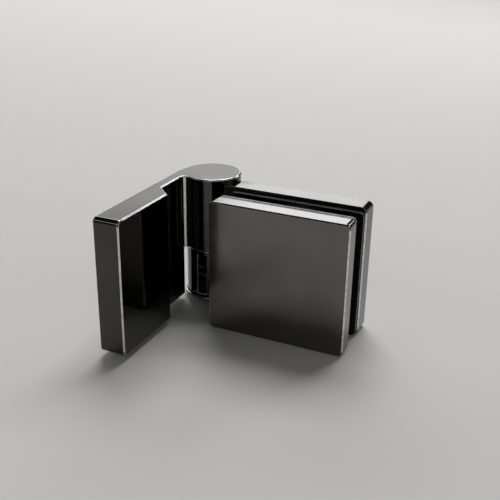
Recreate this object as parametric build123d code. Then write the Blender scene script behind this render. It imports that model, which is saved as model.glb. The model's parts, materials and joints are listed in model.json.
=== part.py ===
from build123d import *
import math
import os

# Wall-to-glass door hinge, standing on its glass clamp. The pivot axis is Z, with the origin on
# that axis, level with the bottom of the clamp. The wall leaf reaches along -X with its back face
# towards +Y, and the glass clamp reaches along -Y, square to it: the door is shut.
# Heights are measured from the bottom of the wall leaf, and the export lifts everything by the drop.

# ---- driving dimensions, millimetres ----
leaf_height = 50.0          # wall leaf and barrel
leaf_reach = 62.0           # pivot axis to the outer end of the wall leaf
plate_thickness = 10.0      # thick part of the wall leaf
arm_thickness = 4.5         # thin arm between the thick part and the barrel
plate_inner = 30.5          # pivot axis to the inner end of the thick part
step_run = 5.5              # length of the slanted step down to the arm
barrel_radius = 11.0        # upper knuckle and bottom cap
back_offset = 1.5           # back face of the wall leaf stands this far behind the barrel
back_blend_start = 6.0      # the flat back ends here and bends into the barrel
root_fillet = 2.5           # hollow between the arm and the barrel
arm_gap = 1.0               # lower end of the arm to the rim of the bottom cap
seam_height = 21.0          # underside of the upper knuckle
corner_radius = 2.0         # plate corners seen in elevation
edge_bevel = 0.4            # eased edges

knuckle_radius = 10.2       # lower knuckle
rim_bevel = 0.3             # ends of the lower knuckle, its window, and the rim above the seam
cap_thickness = 1.2         # bottom cap
cap_bevel = 0.3
washer_gap = 0.4            # room for each thrust washer
washer_inset = 1.0          # washer in from the skin of the knuckle
thrust_play = 0.05          # end float at each washer
cavity_radius = 7.6         # bore that holds the index collar and the lower bush
upper_seat_radius = 6.0     # bore that holds the upper bush
upper_seat_depth = 3.5

clamp_drop = 2.0            # the clamp is as high as the wall leaf and hangs this much lower
clamp_outer = 64.0          # pivot axis to the outer end of the clamp
front_plate_start = 11.4    # pivot axis to the inner end of the front plate
back_face_x = 0.8           # outer face of the back plate
back_plate_thickness = 8.2
front_plate_thickness = 6.3
glass_thickness = 8.0
gasket_thickness = 2.1
gasket_inset = 0.6
barrel_clearance = 0.4      # back plate to the barrel, and to the bottom cap
neck_fillet = 1.5           # back plate into the lower knuckle

window_width = 3.4          # adjusting window in the lower knuckle
window_bottom = 2.6
window_top = 18.6
window_azimuth = 182.0      # degrees from +X, door shut
window_depth = 3.3          # below the skin of the knuckle

pin_radius = 4.0
pin_roof = 6.5              # metal left above the pin's blind hole
blind_end = 1.0             # drill point room above the pin
pin_bevel = 0.4
bush_clearance = 0.05       # radial running clearance on the pin
cap_hub = 1.8               # hub of the bottom cap that meets the pin

collar_bottom = 8.6
collar_height = 4.4
collar_drop = 2.9           # from the collar down to the lower bush
collar_clearance = 0.4      # collar to the cavity wall
stop_azimuth = 40.0         # cast stop rib, door shut
stop_width = 3.0
stop_height = 1.4           # rib stands in from the cavity wall
stop_lift = 0.5             # rib above the lower bush
stop_play = 0.3             # rib to the ends of the collar's relief
swing = 90.0                # degrees the door opens

pocket_depth = 5.0          # recess in the back of the thick part
pocket_corner = 3.0
pocket_end_wall = 3.0       # at the outer and inner ends of the recess
pocket_edge_wall = 5.0      # above and below the recess
mount_play = 0.2            # mounting plate in its recess, all round
mount_floor_play = 0.5
wall_hole_radius = 2.75
wall_hole_spacing = 24.0
wall_hole_sink = 5.2        # countersink radius
lock_screw_radius = 2.0     # M4, in the bottom edge of the wall leaf
lock_screw_spacing = 12.0
lock_screw_back = 0.3       # hole to the floor of the recess, and screw head below the edge

clamp_screw_radius = 3.0    # M6
clamp_screw_spacing = 26.0
clamp_screw_bite = 4.6      # into the front plate
clamp_head_radius = 5.6
clamp_socket = 2.3          # half of the hexagon across its corners
screw_play = 0.05           # screw to its tapped hole
hole_play = 0.3             # screw to its clearance hole
sleeve_wall = 1.9
cap_screw_radius = 2.5      # M5
cap_head_radius = 4.6
cap_screw_bite = 8.0
cap_socket = 1.6
pin_screw_radius = 2.5      # M5 set screw that locks the pin
pin_screw_length = 6.0
collar_screw_radius = 1.5   # M3
collar_screw_recess = 0.3
head_recess = 0.15          # countersunk heads below their face

# ---- sizes that follow ----
clamp_top = leaf_height - clamp_drop
pin_top = leaf_height - pin_roof - blind_end
pin_screw_height = (seam_height + pin_top) / 2
pocket_length = leaf_reach - plate_inner - 2 * pocket_end_wall
pocket_height = leaf_height - 2 * pocket_edge_wall
back_y = barrel_radius + back_offset
front_y = back_y - plate_thickness
arm_y = back_y - arm_thickness
arm_end = math.sqrt((barrel_radius + arm_gap) ** 2 - arm_y ** 2)
knuckle_bottom = cap_thickness + washer_gap
knuckle_top = seam_height - washer_gap
upper_seat = knuckle_top - upper_seat_depth
back_inner_x = back_face_x - back_plate_thickness
slot_width = glass_thickness + 2 * gasket_thickness
front_inner_x = back_inner_x - slot_width
front_face_x = front_inner_x - front_plate_thickness
clamp_middle_y = -(front_plate_start + clamp_outer) / 2
collar_radius = cavity_radius - collar_clearance
stop_tip = cavity_radius - stop_height
relief_radius = stop_tip - collar_clearance
pin_bottom = cap_thickness + cap_hub
lower_bush_top = collar_bottom - collar_drop
pocket_x = -leaf_reach + pocket_end_wall + pocket_length / 2
mount_thickness = pocket_depth - mount_floor_play


def around(radius, degrees, centre=(0.0, 0.0)):
    """Point on a circle in plan."""
    a = math.radians(degrees)
    return (centre[0] + radius * math.cos(a), centre[1] + radius * math.sin(a))


def azimuth(point, centre=(0.0, 0.0)):
    return math.degrees(math.atan2(point[1] - centre[1], point[0] - centre[0]))


def block(x0, x1, y0, y1, z0, z1):
    size = (x1 - x0, y1 - y0, z1 - z0)
    return Pos((x0 + x1) / 2, (y0 + y1) / 2, (z0 + z1) / 2) * Box(*size)


def rod(radius, z0, z1, x=0.0, y=0.0):
    return Pos(x, y, (z0 + z1) / 2) * Cylinder(radius, z1 - z0)


def ring(outer, inner, z0, z1):
    return rod(outer, z0, z1) - rod(inner, z0 - 1, z1 + 1)


def sector(radius, start, stop, z0, z1):
    """Pie slice about the pivot axis, between two azimuths under 180 degrees apart."""
    far = radius / math.cos(math.radians((stop - start) / 4))
    corners = [(0, 0), around(2 * far, start), around(2 * far, (start + stop) / 2), around(2 * far, stop)]
    return Pos(0, 0, z0) * extrude(make_face(Polyline(*corners, close=True)), z1 - z0)


def set_screw(radius, length):
    """Hexagon socket set screw along +Z, its socket at the top, its tip at the origin."""
    body = rod(radius, 0, length)
    body = chamfer(body.edges().group_by(Axis.Z)[0], 0.15 * radius)
    socket = Pos(0, 0, length * 0.55) * extrude(RegularPolygon(0.56 * radius, 6), length)
    return body - socket


def countersunk_screw(radius, head_radius, length, socket_radius):
    """Countersunk socket screw along -Z, the face of its head at the origin."""
    cone = head_radius - radius
    outline = Polyline(
        (0, 0), (head_radius, 0), (radius, -cone), (radius, -length), (0, -length), close=True)
    body = revolve(Plane.XZ * make_face(outline), Axis.Z)
    return body - Pos(0, 0, -0.8 * cone) * extrude(RegularPolygon(socket_radius, 6), 2 * cone)


def countersink(radius, head_radius, depth):
    """Cutter for a countersunk hole along -Z from the face at the origin."""
    mouth = head_radius + head_recess
    outline = Polyline(
        (0, 1), (mouth, 1), (mouth, 0), (radius, radius - mouth), (radius, -depth), (0, -depth), close=True)
    return revolve(Plane.XZ * make_face(outline), Axis.Z)


def clamp_plate(x0, x1, y0, y1, rounded):
    """Upright plate of the clamp; rounded picks which ends have rounded corners."""
    plate = block(x0, x1, y0, y1, -clamp_drop, clamp_top)
    corners = [e for e in plate.edges().filter_by(Axis.X) if min(abs(e.center().Y - y) for y in rounded) < 1e-6]
    plate = fillet(corners, corner_radius)
    rims = plate.faces().sort_by(Axis.X)[0].edges() + plate.faces().sort_by(Axis.X)[-1].edges()
    return chamfer(rims, edge_bevel)


def clamp_screw_places():
    for side in (-1, 1):
        yield clamp_middle_y, (clamp_top - clamp_drop) / 2 + side * clamp_screw_spacing / 2


def upper_outline():
    """Plan above the seam: thick plate, slanted step, arm, and the round upper knuckle."""
    blend_radius = (back_blend_start ** 2 + back_y ** 2 - barrel_radius ** 2) / (2 * back_offset)
    blend_centre = (-back_blend_start, back_y - blend_radius)
    blend_end = azimuth((0, 0), blend_centre)
    root_x = -math.sqrt((barrel_radius + root_fillet) ** 2 - (arm_y - root_fillet) ** 2)
    root_centre = (root_x, arm_y - root_fillet)
    root_end = azimuth(root_centre) % 360
    barrel_middle = (blend_end + root_end - 360) / 2
    root_middle = (90 + root_end - 180) / 2
    flat_back = Line((-leaf_reach, back_y), (-back_blend_start, back_y))
    blend = ThreePointArc(
        flat_back @ 1,
        around(blend_radius, (90 + blend_end) / 2, blend_centre),
        around(barrel_radius, blend_end))
    barrel = ThreePointArc(blend @ 1, around(barrel_radius, barrel_middle), around(barrel_radius, root_end))
    root = ThreePointArc(barrel @ 1, around(root_fillet, root_middle, root_centre), (root_x, arm_y))
    front = Polyline(root @ 1, *leaf_front(), (-leaf_reach, back_y))
    return make_face([flat_back, blend, barrel, root, front])


def lower_outline():
    """Plan below the seam: thick plate, slanted step, and the arm cut off clear of the cap."""
    return make_face(Polyline(
        (-leaf_reach, back_y), (-arm_end, back_y), (-arm_end, arm_y), *leaf_front(), close=True))


def leaf_front():
    """Front of the wall leaf in plan, from the arm out past the step to the outer end."""
    return [(-plate_inner + step_run, arm_y), (-plate_inner, front_y), (-leaf_reach, front_y)]


def wall_leaf():
    """Casting: thick wall plate, arm and upper knuckle, hollowed for the mounting plate."""
    upper = Pos(0, 0, seam_height) * extrude(upper_outline(), leaf_height - seam_height)
    leaf = upper + extrude(lower_outline(), seam_height)
    end_corners = leaf.faces().sort_by(Axis.X)[0].edges().filter_by(Axis.Y)
    leaf = fillet(end_corners, corner_radius)
    rims = leaf.faces().sort_by(Axis.Z)[0].edges() + leaf.faces().sort_by(Axis.Z)[-1].edges()
    leaf = chamfer(rims, edge_bevel)
    seam_rim = [e for e in leaf.edges().filter_by(GeomType.CIRCLE)
                if abs(e.center().Z - seam_height) < rim_bevel and abs(e.radius - barrel_radius) < rim_bevel]
    leaf = chamfer(seam_rim, rim_bevel)
    leaf -= rod(pin_radius, seam_height - 1, pin_top + blind_end)
    tapped = rod(pin_screw_radius, -1, back_y - pin_radius + 0.5)
    leaf -= Pos(0, back_y, pin_screw_height) * Rot(90, 0, 0) * tapped
    recess = block(
        pocket_x - pocket_length / 2, pocket_x + pocket_length / 2, back_y - pocket_depth, back_y + 1,
        pocket_edge_wall, leaf_height - pocket_edge_wall)
    leaf -= fillet(recess.edges().filter_by(Axis.Y), pocket_corner)
    for x, y in lock_screw_places():
        leaf -= rod(lock_screw_radius + screw_play, -1, pocket_edge_wall + 1, x, y)
    return leaf


def lock_screw_places():
    y = back_y - pocket_depth + lock_screw_back + lock_screw_radius
    for side in (-1, 1):
        yield pocket_x + side * lock_screw_spacing / 2, y


def mounting_plate():
    """Steel plate that is screwed to the wall, inside the recess of the wall leaf."""
    half_length = pocket_length / 2 - mount_play
    half_height = pocket_height / 2 - mount_play
    middle = leaf_height / 2
    plate = block(
        pocket_x - half_length, pocket_x + half_length, back_y - mount_thickness, back_y,
        middle - half_height, middle + half_height)
    plate = fillet(plate.edges().filter_by(Axis.Y), pocket_corner - mount_play)
    for side in (-1, 1):
        hole = countersink(wall_hole_radius, wall_hole_sink, mount_thickness + 1)
        place = Pos(pocket_x, back_y - mount_thickness, middle + side * wall_hole_spacing / 2)
        plate -= place * Rot(90, 0, 0) * hole
    return plate


def lock_screws():
    """Two set screws in the bottom edge of the wall leaf that hold it on the mounting plate."""
    length = pocket_edge_wall + mount_play - lock_screw_back
    screws = [Pos(x, y, lock_screw_back + length) * Rot(180, 0, 0) * set_screw(lock_screw_radius, length)
              for x, y in lock_screw_places()]
    return Compound(screws)


def pivot_pin():
    pin = chamfer(rod(pin_radius, pin_bottom, pin_top).edges(), pin_bevel)
    return pin - rod(cap_screw_radius, pin_bottom - 1, pin_bottom + cap_screw_bite + 1)


def pin_screw():
    """Set screw from the back of the upper knuckle onto the pin."""
    screw = set_screw(pin_screw_radius - screw_play, pin_screw_length)
    return Pos(0, pin_radius, pin_screw_height) * Rot(-90, 0, 0) * screw


def bottom_cap():
    """Disc that carries the lower knuckle, with a hub that meets the pin."""
    disc = rod(barrel_radius, 0, cap_thickness)
    disc = chamfer(disc.edges(), cap_bevel)
    disc += rod(pin_radius, cap_thickness, pin_bottom)
    sink = countersink(cap_screw_radius, cap_head_radius, pin_bottom + 1)
    return disc - Rot(180, 0, 0) * sink


def cap_screw():
    length = pin_bottom + cap_screw_bite - head_recess
    screw = countersunk_screw(cap_screw_radius - screw_play, cap_head_radius, length, cap_socket)
    return Pos(0, 0, head_recess) * Rot(180, 0, 0) * screw


def stop_half_angle(radius):
    return math.degrees(math.asin(stop_width / 2 / radius))


def index_collar():
    """Collar locked on the pin. The ends of its relief stop the cast rib at shut and at open."""
    top = collar_bottom + collar_height
    collar = ring(collar_radius, pin_radius, collar_bottom, top)
    play = math.degrees(stop_play / relief_radius)
    start = stop_azimuth - stop_half_angle(relief_radius) - play
    stop = stop_azimuth + swing + stop_half_angle(relief_radius) + play
    relief = sector(collar_radius, start, stop, collar_bottom - 1, top + 1)
    collar -= relief - rod(relief_radius, collar_bottom - 1, top + 1)
    return collar - collar_bore() * rod(collar_screw_radius + screw_play, pin_radius - 1, cavity_radius)


def collar_bore():
    """Radial line of the collar's set screw, facing the window when the door is shut."""
    return Pos(0, 0, collar_bottom + collar_height / 2) * Rot(0, 0, window_azimuth) * Rot(0, 90, 0)


def collar_screw():
    length = collar_radius - pin_radius - collar_screw_recess
    return collar_bore() * Pos(0, 0, pin_radius) * set_screw(collar_screw_radius, length)


def glass_leaf():
    """Casting: back plate of the clamp and the lower knuckle with its window."""
    plate = clamp_plate(back_inner_x, back_face_x, -clamp_outer, 0, [-clamp_outer])
    ring_cut = barrel_radius + barrel_clearance
    plate -= rod(ring_cut, knuckle_top, leaf_height)
    plate -= rod(ring_cut, -2 * clamp_drop, knuckle_bottom)
    knuckle = rod(knuckle_radius, knuckle_bottom, knuckle_top)
    leaf = plate + chamfer(knuckle.edges().filter_by(GeomType.CIRCLE), rim_bevel)
    roots = [(x, -math.sqrt(knuckle_radius ** 2 - x ** 2)) for x in (back_inner_x, back_face_x)]
    middle = (knuckle_bottom + knuckle_top) / 2
    leaf = fillet([leaf.edges().filter_by(Axis.Z).sort_by_distance((x, y, middle))[0] for x, y in roots],
                  neck_fillet)
    leaf -= rod(cavity_radius, knuckle_bottom - 1, upper_seat)
    leaf -= rod(upper_seat_radius, upper_seat - 1, knuckle_top + 1)
    rib = block(
        stop_tip, cavity_radius + 0.5, -stop_width / 2, stop_width / 2, lower_bush_top + stop_lift, upper_seat)
    leaf += Rot(0, 0, stop_azimuth) * rib
    window = block(
        knuckle_radius - window_depth, knuckle_radius + 1, -window_width / 2, window_width / 2,
        window_bottom, window_top)
    leaf -= Rot(0, 0, window_azimuth) * window
    leaf = chamfer(window_edges(leaf), rim_bevel)
    for y, z in clamp_screw_places():
        hole = countersink(clamp_screw_radius + hole_play, clamp_head_radius, back_plate_thickness + 1)
        leaf -= Pos(back_face_x, y, z) * Rot(0, 90, 0) * hole
    return leaf


def window_edges(leaf):
    """Edges of the window in the skin of the lower knuckle."""
    centre = Vector(*around(knuckle_radius, window_azimuth), (window_bottom + window_top) / 2)
    near = [e for e in leaf.edges() if (e @ 0.5 - centre).length < (window_top - window_bottom) / 2 + rim_bevel]
    return [e for e in near if abs(math.hypot((e @ 0.5).X, (e @ 0.5).Y) - knuckle_radius) < rim_bevel / 2
            and window_bottom - rim_bevel < (e @ 0.5).Z < window_top + rim_bevel]


def front_plate():
    plate = clamp_plate(front_face_x, front_inner_x, -clamp_outer, -front_plate_start,
                        [-clamp_outer, -front_plate_start])
    for y, z in clamp_screw_places():
        bore = rod(clamp_screw_radius, -1, clamp_screw_bite + 0.5)
        plate -= Pos(front_inner_x, y, z) * Rot(0, -90, 0) * bore
    return plate


def gasket(x0):
    """Rubber sheet on the inner face of a clamp plate, holed for the two screws."""
    x1 = x0 + gasket_thickness
    sheet = block(
        x0, x1, -clamp_outer + gasket_inset, -front_plate_start - gasket_inset,
        gasket_inset - clamp_drop, clamp_top - gasket_inset)
    sheet = fillet(sheet.edges().filter_by(Axis.X), corner_radius - gasket_inset)
    for y, z in clamp_screw_places():
        sheet -= Pos(x0, y, z) * Rot(0, 90, 0) * rod(clamp_screw_radius + hole_play, -1, gasket_thickness + 1)
    return sheet


def clamp_screws():
    """Two countersunk screws from the back plate through the glass into the front plate."""
    length = back_plate_thickness + slot_width + clamp_screw_bite - head_recess
    screw = countersunk_screw(clamp_screw_radius - screw_play, clamp_head_radius, length, clamp_socket)
    places = [Pos(back_face_x - head_recess, y, z) * Rot(0, 90, 0) for y, z in clamp_screw_places()]
    return Compound([place * screw for place in places])


def screw_sleeves():
    """Plastic sleeves that keep the glass off the screws."""
    inner = clamp_screw_radius + hole_play
    sleeve = ring(inner + sleeve_wall, inner, 0, glass_thickness)
    start = front_inner_x + gasket_thickness
    return Compound([Pos(start, y, z) * Rot(0, 90, 0) * sleeve for y, z in clamp_screw_places()])


def upper_bush():
    return ring(upper_seat_radius, pin_radius + bush_clearance, upper_seat, knuckle_top)


def lower_bush():
    return ring(cavity_radius, pin_radius + bush_clearance, knuckle_bottom, lower_bush_top)


def thrust_washer(z0, z1):
    return ring(knuckle_radius - washer_inset, pin_radius + bush_clearance, z0, z1)


pieces = {
    "wall_leaf": wall_leaf(),
    "mounting_plate": mounting_plate(),
    "lock_screws": lock_screws(),
    "pivot_pin": pivot_pin(),
    "pin_screw": pin_screw(),
    "bottom_cap": bottom_cap(),
    "cap_screw": cap_screw(),
    "index_collar": index_collar(),
    "collar_screw": collar_screw(),
    "glass_leaf": glass_leaf(),
    "front_plate": front_plate(),
    "front_gasket": gasket(front_inner_x),
    "back_gasket": gasket(back_inner_x - gasket_thickness),
    "clamp_screws": clamp_screws(),
    "screw_sleeves": screw_sleeves(),
    "upper_bush": upper_bush(),
    "lower_bush": lower_bush(),
    "upper_washer": thrust_washer(knuckle_top, seam_height - thrust_play),
    "lower_washer": thrust_washer(cap_thickness + thrust_play, knuckle_bottom),
}

os.makedirs("parts", exist_ok=True)
for name, shape in pieces.items():
    export_step(Pos(0, 0, clamp_drop) * shape, f"parts/{name}.step")
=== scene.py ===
import bpy
import json
import math
from mathutils import Euler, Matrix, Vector

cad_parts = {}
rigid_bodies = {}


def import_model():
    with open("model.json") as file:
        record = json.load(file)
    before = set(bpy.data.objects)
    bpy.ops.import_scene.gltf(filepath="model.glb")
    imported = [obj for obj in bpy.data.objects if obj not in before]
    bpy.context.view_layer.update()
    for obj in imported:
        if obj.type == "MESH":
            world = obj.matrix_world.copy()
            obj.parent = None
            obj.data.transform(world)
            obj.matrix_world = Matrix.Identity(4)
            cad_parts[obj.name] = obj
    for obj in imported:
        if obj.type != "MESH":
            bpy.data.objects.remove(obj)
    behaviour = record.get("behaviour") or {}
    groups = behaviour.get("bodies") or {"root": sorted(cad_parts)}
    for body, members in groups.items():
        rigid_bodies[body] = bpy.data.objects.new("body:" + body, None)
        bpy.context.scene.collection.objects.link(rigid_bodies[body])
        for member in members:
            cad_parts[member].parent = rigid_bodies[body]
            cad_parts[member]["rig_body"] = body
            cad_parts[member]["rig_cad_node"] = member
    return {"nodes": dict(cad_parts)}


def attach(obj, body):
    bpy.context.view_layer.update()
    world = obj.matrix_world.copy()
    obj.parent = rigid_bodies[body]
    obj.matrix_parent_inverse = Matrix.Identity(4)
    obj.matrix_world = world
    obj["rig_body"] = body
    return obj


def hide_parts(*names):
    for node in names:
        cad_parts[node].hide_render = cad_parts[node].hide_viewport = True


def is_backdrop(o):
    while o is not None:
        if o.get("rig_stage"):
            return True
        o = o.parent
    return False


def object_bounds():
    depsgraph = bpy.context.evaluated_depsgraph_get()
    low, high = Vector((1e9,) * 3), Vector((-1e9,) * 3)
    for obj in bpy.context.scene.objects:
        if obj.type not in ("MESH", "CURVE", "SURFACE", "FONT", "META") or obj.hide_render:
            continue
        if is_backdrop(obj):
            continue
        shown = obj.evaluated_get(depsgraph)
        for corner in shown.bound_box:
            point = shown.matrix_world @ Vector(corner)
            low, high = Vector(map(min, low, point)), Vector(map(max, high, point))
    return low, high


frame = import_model()
lowCorner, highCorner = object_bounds()
cadBox = [list(lowCorner), list(highCorner)]
cadNodes = frame["nodes"]
mm = 0.001
tiny = 0.001 * mm  # points nearer than this are one point
noiseMiddle = (0.3, 0.7)  # most of a noise pattern lies between these
print("frame loaded:", len(cadNodes), "nodes")


def hexColour(code):
    parts = [int(code[i:i + 2], 16) / 255 for i in (0, 2, 4)]
    linear = [p / 12.92 if p <= 0.04045 else ((p + 0.055) / 1.055) ** 2.4 for p in parts]
    return (*linear, 1.0)


def addNode(tree, kind, settings=None, inputs=None, links=None):
    node = tree.nodes.new(kind)
    for name, value in (settings or {}).items():
        setattr(node, name, value)
    for name, value in (inputs or {}).items():
        node.inputs[name].default_value = value
    for name, output in (links or {}).items():
        tree.links.new(output, node.inputs[name])
    return node


def startMaterial(name):
    material = bpy.data.materials.new(name)
    material.use_nodes = True
    material.node_tree.nodes.clear()
    return material, material.node_tree


def setStops(ramp, stops):
    # stops are (place, colour) pairs, the first two take the ramp's own ends
    elements = ramp.color_ramp.elements
    while len(elements) < len(stops):
        elements.new(1.0)
    for element, (place, colour) in zip(elements, stops):
        element.position = place
        element.color = colour


def hexStops(values):
    return [(place, hexColour(code)) for place, code in zip(values["stops"], values["colours"])]


def grey(value):
    return (value, value, value, 1.0)


def noiseScale(size):
    # scale that makes a noise pattern's spots about size mm wide
    return 1 / (size * mm)


def finishFromPattern(tree, pattern, values, fixed):
    # one pattern sets the tint, and the roughness too where that is a pair of values
    tint = addNode(tree, "ShaderNodeValToRGB", None, None, {"Fac": pattern})
    setStops(tint, hexStops(values))
    inputs, links = dict(fixed), {"Base Color": tint.outputs["Color"]}
    if isinstance(values["roughness"], tuple):
        low, high = values["roughness"]
        spread = addNode(tree, "ShaderNodeMapRange", None,
                         {"From Min": noiseMiddle[0], "From Max": noiseMiddle[1],
                          "To Min": low, "To Max": high}, {"Value": pattern})
        links["Roughness"] = spread.outputs["Result"]
    else:
        inputs["Roughness"] = values["roughness"]
    shader = addNode(tree, "ShaderNodeBsdfPrincipled", None, inputs, links)
    addNode(tree, "ShaderNodeOutputMaterial", None, None, {"Surface": shader.outputs["BSDF"]})


darkChrome = {
    "polishColours": ("474644", "4D4C4A"),  # plating is a little paler where it is thinner
    "satinColours": ("696865", "6F6E6B"),
    "stops": (0.35, 0.65),  # where the two colours lie on the pattern
    "cloudSize": 14.0,  # mm, slow change in the plating
    "cloudDetail": 2.0,
    "polish": (0.035, 0.07),  # roughness of the polished bodies, best and worst
    "satin": (0.11, 0.15),  # roughness of the flat cover plate, which is only lapped before plating
    "hazeSize": 2.5,  # mm, polishing haze
    "hazeDetail": 4.0,
    "waveSize": 14.0,  # mm, what polishing leaves in a casting
    "waveDetail": 1.0,
    "waveDepth": 0.001,  # mm
}


def makeDarkChrome(name, finish):
    # black chrome plate over a polished zinc casting: a dark mirror, slightly uneven up close
    material, tree = startMaterial(name)
    place = addNode(tree, "ShaderNodeTexCoord").outputs["Object"]
    cloud = addNode(tree, "ShaderNodeTexNoise", None,
                    {"Scale": noiseScale(darkChrome["cloudSize"]),
                     "Detail": darkChrome["cloudDetail"]}, {"Vector": place})
    tint = addNode(tree, "ShaderNodeValToRGB", None, None, {"Fac": cloud.outputs["Fac"]})
    setStops(tint, hexStops({"stops": darkChrome["stops"],
                             "colours": darkChrome[finish + "Colours"]}))
    haze = addNode(tree, "ShaderNodeTexNoise", None,
                   {"Scale": noiseScale(darkChrome["hazeSize"]),
                    "Detail": darkChrome["hazeDetail"]}, {"Vector": place})
    best, worst = darkChrome[finish]
    polish = addNode(tree, "ShaderNodeMapRange", None,
                     {"From Min": noiseMiddle[0], "From Max": noiseMiddle[1],
                      "To Min": best, "To Max": worst}, {"Value": haze.outputs["Fac"]})
    wave = addNode(tree, "ShaderNodeTexNoise", None,
                   {"Scale": noiseScale(darkChrome["waveSize"]),
                    "Detail": darkChrome["waveDetail"]}, {"Vector": place})
    relief = addNode(tree, "ShaderNodeBump", None,
                     {"Strength": 1.0, "Distance": darkChrome["waveDepth"] * mm},
                     {"Height": wave.outputs["Fac"]})
    shader = addNode(tree, "ShaderNodeBsdfPrincipled", None, {"Metallic": 1.0},
                     {"Base Color": tint.outputs["Color"], "Roughness": polish.outputs["Result"],
                      "Normal": relief.outputs["Normal"]})
    addNode(tree, "ShaderNodeOutputMaterial", None, None, {"Surface": shader.outputs["BSDF"]})
    return material


# painted edge highlight: a bright copy of the dark chrome for edge faces
paintedEdgeHighlight = {
    "colours": ("BFBEBB", "E4E3E0"), "stops": (0.3, 0.6), "roughness": 0.22,
    "highlightMottleSize": 1.2,  # mm
    "detail": 3.0,
}


def makePaintedEdgeHighlight():
    # painted highlight: a bright copy of the same plate, put along the edges so that they shine
    material, tree = startMaterial("darkChromePaintedEdgeHighlight")
    place = addNode(tree, "ShaderNodeTexCoord").outputs["Object"]
    highlightMottle = addNode(tree, "ShaderNodeTexNoise", None,
                   {"Scale": noiseScale(paintedEdgeHighlight["highlightMottleSize"]),
                    "Detail": paintedEdgeHighlight["detail"]}, {"Vector": place})
    finishFromPattern(tree, highlightMottle.outputs["Fac"], paintedEdgeHighlight, {"Metallic": 1.0})
    return material


gasketRibs = {  # mm, saw teeth that hold the glass
    "start": 0.9,  # lowest tooth, above the floor
    "pitch": 1.5,
    "depth": 0.35,
    "ledge": 0.06,  # height of each tooth's underside
    "corner": 1.4,  # the top corners move with the lip, from this far below it
    "grooveHalf": 0.25,  # half the width of the groove in the lip
    "grooveDepth": 0.4,
}
rubber = {
    # colours run from the painted shade at each tooth root up to the crest
    "colours": ("070708", "161617"), "stops": (0.2, 0.95),
    "grainSize": 0.4,  # mm, real grain is half as coarse
    "grainDetail": 3.0,
    "grainDepth": 0.004,  # mm
    "bloomSize": 3.0,  # mm, patches where the surface has dulled
    "bloomDetail": 2.0,
    "roughness": (0.26, 0.44),
}


def makeRubber():
    # moulded black EPDM sheet: soft dark sheen over a fine grain, with painted shade darkening each
    # tooth towards its root
    material, tree = startMaterial("mouldedEpdmRubber")
    place = addNode(tree, "ShaderNodeTexCoord").outputs["Object"]
    # a saw wave repeats every pi / 10 at scale 1, and its phase puts the painted shade at each
    # tooth's root
    toothShade = addNode(tree, "ShaderNodeTexWave", {"bands_direction": "Z", "wave_profile": "SAW"},
                    {"Scale": math.pi / 10 / (gasketRibs["pitch"] * mm),
                     "Phase Offset": -2 * math.pi * gasketRibs["start"] / gasketRibs["pitch"]},
                    {"Vector": place})
    tint = addNode(tree, "ShaderNodeValToRGB", None, None, {"Fac": toothShade.outputs["Fac"]})
    setStops(tint, hexStops(rubber))
    bloom = addNode(tree, "ShaderNodeTexNoise", None,
                    {"Scale": noiseScale(rubber["bloomSize"]),
                     "Detail": rubber["bloomDetail"]}, {"Vector": place})
    low, high = rubber["roughness"]
    sheen = addNode(tree, "ShaderNodeMapRange", None,
                    {"From Min": noiseMiddle[0], "From Max": noiseMiddle[1],
                     "To Min": low, "To Max": high}, {"Value": bloom.outputs["Fac"]})
    grain = addNode(tree, "ShaderNodeTexNoise", None,
                    {"Scale": noiseScale(rubber["grainSize"]),
                     "Detail": rubber["grainDetail"]}, {"Vector": place})
    relief = addNode(tree, "ShaderNodeBump", None,
                     {"Strength": 1.0, "Distance": rubber["grainDepth"] * mm},
                     {"Height": grain.outputs["Fac"]})
    shader = addNode(tree, "ShaderNodeBsdfPrincipled", None, None,
                     {"Base Color": tint.outputs["Color"], "Roughness": sheen.outputs["Result"],
                      "Normal": relief.outputs["Normal"]})
    addNode(tree, "ShaderNodeOutputMaterial", None, None, {"Surface": shader.outputs["BSDF"]})
    return material


zincPlate = {
    "colours": ("A9AEB3", "C3C8CC"), "stops": (0.35, 0.65), "roughness": (0.32, 0.5),
    "lineSize": 0.35,  # mm, drawn coarser than real rolling lines, which wouldn't show
    "lineLength": 9.0,  # mm
    "detail": 2.0,
}


def makeZincPlate():
    # rolled steel plate, zinc plated: cool grey with rolling lines along its length
    material, tree = startMaterial("zincPlatedSteel")
    place = addNode(tree, "ShaderNodeTexCoord").outputs["Object"]
    across, along = noiseScale(zincPlate["lineSize"]), noiseScale(zincPlate["lineLength"])
    stretched = addNode(tree, "ShaderNodeMapping", None, {"Scale": (across, across, along)},
                        {"Vector": place})
    lines = addNode(tree, "ShaderNodeTexNoise", None,
                    {"Scale": 1.0, "Detail": zincPlate["detail"]},
                    {"Vector": stretched.outputs["Vector"]})
    finishFromPattern(tree, lines.outputs["Fac"], zincPlate, {"Metallic": 1.0})
    return material


groundSteel = {
    "colours": ("AEAFB2", "C6C7CA"), "stops": (0.35, 0.65), "roughness": (0.16, 0.3),
    "lineSize": 0.3,  # mm, drawn coarser than real grinding rings, which wouldn't show
    "detail": 2.0,
}
acetal = {
    "colours": ("111112", "1E1E20"), "stops": (0.35, 0.7), "roughness": (0.3, 0.46),
    "lineSize": 0.2,  # mm, drawn coarser than real tool rings, which wouldn't show
    "detail": 2.0,
    "ior": 1.48,
}


def makeTurned(name, values, fixed):
    # fine rings round the pivot axis, as grinding and turning leave them
    material, tree = startMaterial(name)
    place = addNode(tree, "ShaderNodeTexCoord").outputs["Object"]
    height = addNode(tree, "ShaderNodeSeparateXYZ", None, None, {"Vector": place})
    rings = addNode(tree, "ShaderNodeTexNoise", {"noise_dimensions": "1D"},
                    {"Scale": noiseScale(values["lineSize"]), "Detail": values["detail"]},
                    {"W": height.outputs["Z"]})
    finishFromPattern(tree, rings.outputs["Fac"], values, fixed)
    return material


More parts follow.
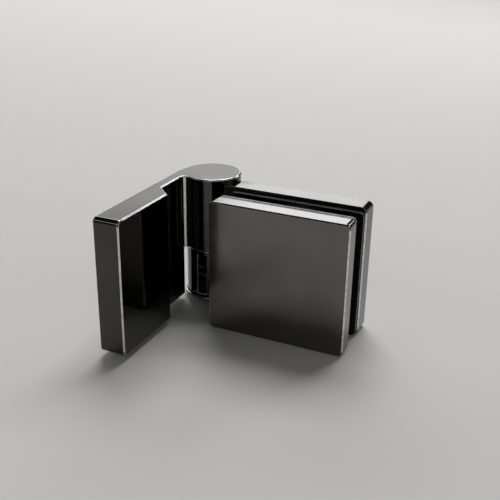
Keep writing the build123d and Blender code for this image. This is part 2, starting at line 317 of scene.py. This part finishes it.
screwSteel = {
    "colours": ("B2B4B8", "C2C4C8"), "stops": (0.35, 0.65), "roughness": (0.2, 0.3),
    "spotSize": 0.35,  # mm
    "detail": 3.0,
}
blackSteel = {
    "colours": ("232325", "3A3A3D"), "stops": (0.35, 0.7), "roughness": (0.36, 0.55),
    "spotSize": 0.4,  # mm
    "detail": 4.0,
}
nylon = {
    "colours": ("C4C8C9", "DADDDD"), "stops": (0.3, 0.7), "roughness": 0.34,
    "spotSize": 1.5,  # mm
    "detail": 2.0,
    "ior": 1.53,
}


def makeSpotted(name, values, fixed):
    # small soft spots in tint and shine
    material, tree = startMaterial(name)
    place = addNode(tree, "ShaderNodeTexCoord").outputs["Object"]
    spots = addNode(tree, "ShaderNodeTexNoise", None,
                    {"Scale": noiseScale(values["spotSize"]), "Detail": values["detail"]},
                    {"Vector": place})
    finishFromPattern(tree, spots.outputs["Fac"], values, fixed)
    return material


def coatNodes(names, material):
    for name in names:
        for slot in cadNodes[name].material_slots:
            slot.material = material


blackRubber = makeRubber()
coatNodes(["mounting_plate"], makeZincPlate())
# ground and turned stainless steel: a bright satin with fine rings
coatNodes(["pivot_pin", "index_collar"],
          makeTurned("groundStainlessSteel", groundSteel, {"Metallic": 1.0}))
# cold headed stainless screws, tumbled bright: soft mottled shine
coatNodes(["clamp_screws", "cap_screw"],
          makeSpotted("tumbledStainlessScrew", screwSteel, {"Metallic": 1.0}))
# black oxide on alloy steel set screws: oily dark grey, uneven
coatNodes(["lock_screws", "pin_screw", "collar_screw"],
          makeSpotted("blackOxideSteel", blackSteel, {"Metallic": 1.0}))
# extruded natural nylon tube: milky, with a waxy shine
coatNodes(["screw_sleeves"], makeSpotted("naturalNylonTube", nylon, {"IOR": nylon["ior"]}))
# turned black acetal: dense black with faint tool rings
coatNodes(["upper_bush", "lower_bush", "upper_washer", "lower_washer"],
          makeTurned("turnedBlackAcetal", acetal, {"IOR": acetal["ior"]}))
polishedChrome = makeDarkChrome("darkChromePolished", "polish")
lappedChrome = makeDarkChrome("darkChromeLapped", "satin")
# the painted edge highlight material
edgeHighlightChrome = makePaintedEdgeHighlight()
print("materials done:", len(bpy.data.materials))

polishedEdge = {  # what polishing takes off each sharp edge
    "width": 0.1,  # mm
    "segments": 2,
    "angle": 30.0,  # degrees
}
highlightStrips = {  # the broken upright edges that get the painted highlight: long, narrow faces that stand upright
    "minLength": 2.0,  # mm
    "maxWidth": 0.75,  # mm
    "upright": 0.3,  # most that the face may look up or down
}
rootHighlight = {"x": (-10.5, -9.9), "y": (6.2, 7.15)}  # mm, bottom of the hollow by the barrel, which gets a painted highlight line
clampRims = {
    "start": -11.0,  # mm, the clamp plates lie in front of this
    "level": 0.1,  # least that a rim looks up or down
}
flatAngle = 0.5  # degrees, faces that differ by less are one flat face


def edgeLength(mesh, edge):
    return (mesh.vertices[edge.vertices[0]].co - mesh.vertices[edge.vertices[1]].co).length


def markEdgeHighlightStrips(piece):
    # narrow upright strips between two sharp edges get the painted edge highlight
    mesh = piece.data
    for face in mesh.polygons:
        edges = [mesh.edges[mesh.loops[i].edge_index] for i in face.loop_indices]
        longEdges = [e for e in edges if edgeLength(mesh, e) > highlightStrips["minLength"] * mm]
        rim = sum(edgeLength(mesh, e) for e in longEdges)
        if (longEdges and face.area / rim * 2 < highlightStrips["maxWidth"] * mm
                and abs(face.normal.z) < highlightStrips["upright"]
                and all(e.use_edge_sharp for e in longEdges)):
            face.material_index = 1


def markRootHighlight(piece):
    # a painted highlight line at the bottom of the hollow by the barrel
    for face in piece.data.polygons:
        inHollow = all(low * mm < value < high * mm for value, (low, high)
                       in zip(face.center, (rootHighlight["x"], rootHighlight["y"])))
        if inHollow and abs(face.normal.z) < highlightStrips["upright"]:
            face.material_index = 1


def keepClampRimsDark(piece):
    # the level rims of the clamp plates go back to the plain dark chrome, without the painted
    # highlight
    for face in piece.data.polygons:
        if (face.center.y < clampRims["start"] * mm
                and abs(face.normal.z) > clampRims["level"]):
            face.material_index = 0


def copyNode(nodeName, pieceName, materials):
    # a merged copy of a CAD node with flat faces instead of triangles
    bpy.ops.object.select_all(action="DESELECT")
    source = cadNodes[nodeName]
    source.select_set(True)
    bpy.context.view_layer.objects.active = source
    bpy.ops.object.duplicate()
    piece = bpy.context.object
    piece.parent = None
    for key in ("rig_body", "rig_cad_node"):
        del piece[key]
    piece.name = piece.data.name = pieceName
    piece.data.materials.clear()
    for material in materials:
        piece.data.materials.append(material)
    bpy.ops.object.mode_set(mode="EDIT")
    bpy.ops.mesh.select_mode(type="VERT")
    bpy.ops.mesh.select_all(action="SELECT")
    bpy.ops.mesh.remove_doubles(threshold=tiny)
    bpy.ops.mesh.customdata_custom_splitnormals_clear()
    bpy.ops.mesh.dissolve_limited(angle_limit=math.radians(flatAngle))
    bpy.ops.mesh.normals_make_consistent(inside=False)
    bpy.ops.object.mode_set(mode="OBJECT")
    return piece


def standFor(piece, nodeName, body):
    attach(piece, body)
    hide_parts(nodeName)
    print(piece.name, len(piece.data.polygons), "faces")


def polishCasting(nodeName, pieceName, body, chrome):
    piece = copyNode(nodeName, pieceName, (chrome, edgeHighlightChrome))
    bpy.ops.object.shade_smooth_by_angle(angle=math.radians(polishedEdge["angle"]))
    markEdgeHighlightStrips(piece)
    markRootHighlight(piece)
    bevel = piece.modifiers.new("polishedEdge", "BEVEL")
    bevel.width = polishedEdge["width"] * mm
    bevel.segments = polishedEdge["segments"]
    bevel.limit_method = "ANGLE"
    bevel.angle_limit = math.radians(polishedEdge["angle"])
    bevel.use_clamp_overlap = False
    bevel.harden_normals = True
    # the bevelled faces take the painted edge highlight
    bevel.material = 1
    bpy.ops.object.modifier_apply(modifier=bevel.name)
    keepClampRimsDark(piece)
    standFor(piece, nodeName, body)


polishCasting("wall_leaf", "wallLeafPolished", "wall_side", polishedChrome)
polishCasting("bottom_cap", "bottomCapPolished", "wall_side", polishedChrome)
polishCasting("glass_leaf", "glassLeafPolished", "glass_side", polishedChrome)
polishCasting("front_plate", "frontPlatePolished", "glass_side", lappedChrome)

gaskets = {  # mm: how far the top lip moves up, and the groove in it, measured from the plate
    "front_gasket": {"pieceName": "frontGasketRibbed", "lift": 0.5, "lipGroove": 0.85},
    "back_gasket": {"pieceName": "backGasketRibbed", "lift": -0.8, "lipGroove": 0.0},
}


def cutAcross(places, direction):
    # flat cuts right through the piece in edit mode
    for place in places:
        bpy.ops.mesh.select_all(action="SELECT")
        bpy.ops.mesh.bisect(plane_co=direction * place, plane_no=direction, threshold=tiny)


def toothProfile(top):
    # heights up the gasket, and how far its face lies back at each
    pitch, depth, ledge = (gasketRibs[key] * mm for key in ("pitch", "depth", "ledge"))
    first = gasketRibs["start"] * mm
    count = int((top - first) / pitch)
    profile = []
    for i in range(count):
        middle = first + i * pitch
        profile += [(middle - ledge / 2, 0.0), (middle + ledge / 2, depth)]
    profile.append((first + count * pitch, 0.0))
    return profile


def fallAt(z, profile):
    for (lowZ, lowFall), (highZ, highFall) in zip(profile, profile[1:]):
        if lowZ - tiny < z < highZ + tiny:
            share = min(1.0, max(0.0, (z - lowZ) / (highZ - lowZ)))
            return lowFall + (highFall - lowFall) * share
    return 0.0


def ribGasket(nodeName, towardsGlass, pieceName, lift, lipGroove):
    # towardsGlass is 1 where the glass lies on the +X side of the gasket, and -1 on the other
    piece = copyNode(nodeName, pieceName, (blackRubber,))
    points = piece.data.vertices
    glassFace = max(p.co.x * towardsGlass for p in points) * towardsGlass
    plateFace = min(p.co.x * towardsGlass for p in points) * towardsGlass
    top = max(p.co.z for p in points)
    for point in points:
        if point.co.z > top - gasketRibs["corner"] * mm - tiny:
            point.co.z += lift * mm
    top += lift * mm
    profile = toothProfile(top)
    lip = plateFace + towardsGlass * lipGroove * mm
    grooveHalf, grooveDepth = (gasketRibs[key] * mm for key in ("grooveHalf", "grooveDepth"))
    bpy.ops.object.mode_set(mode="EDIT")
    cutAcross([z for z, fall in profile], Vector((0, 0, 1)))
    if lipGroove:
        cutAcross([lip - grooveHalf, lip, lip + grooveHalf], Vector((1, 0, 0)))
    bpy.ops.object.mode_set(mode="OBJECT")
    for point in points:
        x, z = point.co.x, point.co.z
        if abs(x - glassFace) < tiny:
            point.co.x -= towardsGlass * fallAt(z, profile)
        elif lipGroove and z > top - tiny:
            point.co.z -= max(0.0, 1 - abs(x - lip) / grooveHalf) * grooveDepth
    bpy.ops.object.shade_flat()
    standFor(piece, nodeName, "glass_side")


ribGasket("front_gasket", 1, **gaskets["front_gasket"])
ribGasket("back_gasket", -1, **gaskets["back_gasket"])

floor = {
    "size": 4.0,  # m
    "colour": "C4C3C1", "roughness": 0.9, "specular": 0.1,
}


def makeFloor():
    # matt pale studio sheet: dull enough to show soft shadows and no highlight
    bpy.ops.object.select_all(action="DESELECT")
    bpy.ops.mesh.primitive_plane_add(size=floor["size"], location=(0, 0, cadBox[0][2]))
    piece = bpy.context.object
    piece.name = "floorSheet"
    bpy.ops.object.transform_apply(location=True, rotation=True, scale=True)
    material, tree = startMaterial("paleStudioFloor")
    shader = addNode(tree, "ShaderNodeBsdfPrincipled", None,
                     {"Base Color": hexColour(floor["colour"]), "Roughness": floor["roughness"],
                      "Specular IOR Level": floor["specular"]})
    addNode(tree, "ShaderNodeOutputMaterial", None, None, {"Surface": shader.outputs["BSDF"]})
    piece.data.materials.append(material)
    piece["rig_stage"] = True


# turn is from +Y towards +X and height is above the floor, both in degrees;
# distance, width and tall are in metres, and power is in watts
lamps = {
    "softLow": {"turn": 46.0, "height": 20.5, "distance": 2.4,
                "width": 3.0, "tall": 1.33, "power": 17.5},
    "softRight": {"turn": 69.9, "height": 28.5, "distance": 2.3,
                  "width": 0.6, "tall": 0.71, "power": 2.5},
    "softHigh": {"turn": 80.0, "height": 61.0, "distance": 2.4,
                 "width": 1.5, "tall": 1.1, "power": 46.0},
    "stripSide": {"turn": 113.5, "height": 30.5, "distance": 1.2,
                  "width": 0.26, "tall": 0.26, "power": 1.7},
    "barBehind": {"turn": 50.0, "height": 33.0, "distance": 2.3,
                  "width": 0.5, "tall": 0.2, "power": 2.2},
    "barLeft": {"turn": -48.0, "height": 36.0, "distance": 2.0,
                "width": 1.2, "tall": 0.08, "power": 2.6},
    "fillFront": {"turn": 245.0, "height": 28.0, "distance": 2.4,
                  "width": 2.8, "tall": 1.5, "power": 5.0},
    "fillSide": {"turn": 183.0, "height": 28.0, "distance": 2.4,
                 "width": 2.6, "tall": 1.5, "power": 5.0},
}


def aim(turn, height):
    # unit vector that many radians from +Y towards +X, and up
    return Vector((math.sin(turn) * math.cos(height), math.cos(turn) * math.cos(height),
                   math.sin(height)))


def hangLamp(name, turn, height, distance, width, tall, power):
    data = bpy.data.lights.new(name, "AREA")
    data.shape = "RECTANGLE"
    data.size = width
    data.size_y = tall
    data.energy = power
    lamp = bpy.data.objects.new(name, data)
    bpy.context.scene.collection.objects.link(lamp)
    direction = aim(math.radians(turn), math.radians(height))
    lamp.location = direction * distance
    lamp.rotation_euler = direction.to_track_quat("Z", "Y").to_euler()


room = {"wall": 0.55, "ceiling": 0.04, "wallTop": 0.04, "ceilingStart": 0.12}


def makeRoom():
    # pale walls that darken towards the ceiling
    world = bpy.data.worlds.new("softRoom")
    bpy.context.scene.world = world
    world.use_nodes = True
    tree = world.node_tree
    tree.nodes.clear()
    direction = addNode(tree, "ShaderNodeTexCoord").outputs["Generated"]
    height = addNode(tree, "ShaderNodeSeparateXYZ", None, None, {"Vector": direction})
    shade = addNode(tree, "ShaderNodeValToRGB", None, None, {"Fac": height.outputs["Z"]})
    setStops(shade, [(room["wallTop"], grey(room["wall"])),
                     (room["ceilingStart"], grey(room["ceiling"]))])
    light = addNode(tree, "ShaderNodeBackground", None, {"Strength": 1.0},
                    {"Color": shade.outputs["Color"]})
    addNode(tree, "ShaderNodeOutputWorld", None, None, {"Surface": light.outputs["Background"]})


view = {
    "place": (-258.8, -131.9, 143.7),  # mm
    "turn": 1.1507, "tilt": -0.4047, "roll": 0.0178,  # radians
    "lens": 56.73, "sensor": 36.0,  # mm
    "clip": 0.01,  # m
}


def makeCamera():
    data = bpy.data.cameras.new("mainCamera")
    data.lens = view["lens"]
    data.sensor_width = view["sensor"]
    data.clip_start = view["clip"]
    camera = bpy.data.objects.new("mainCamera", data)
    bpy.context.scene.collection.objects.link(camera)
    ahead = aim(view["turn"], view["tilt"])
    upright = (-ahead).to_track_quat("Z", "Y")
    camera.location = Vector(view["place"]) * mm
    camera.rotation_mode = "QUATERNION"
    camera.rotation_quaternion = upright @ Euler((0, 0, view["roll"])).to_quaternion()
    bpy.context.scene.camera = camera


makeFloor()
for lampName, lampValues in lamps.items():
    hangLamp(lampName, **lampValues)
makeRoom()
makeCamera()
bpy.context.scene.view_settings.view_transform = "Standard"
print("studio done")

lowCorner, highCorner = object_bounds()
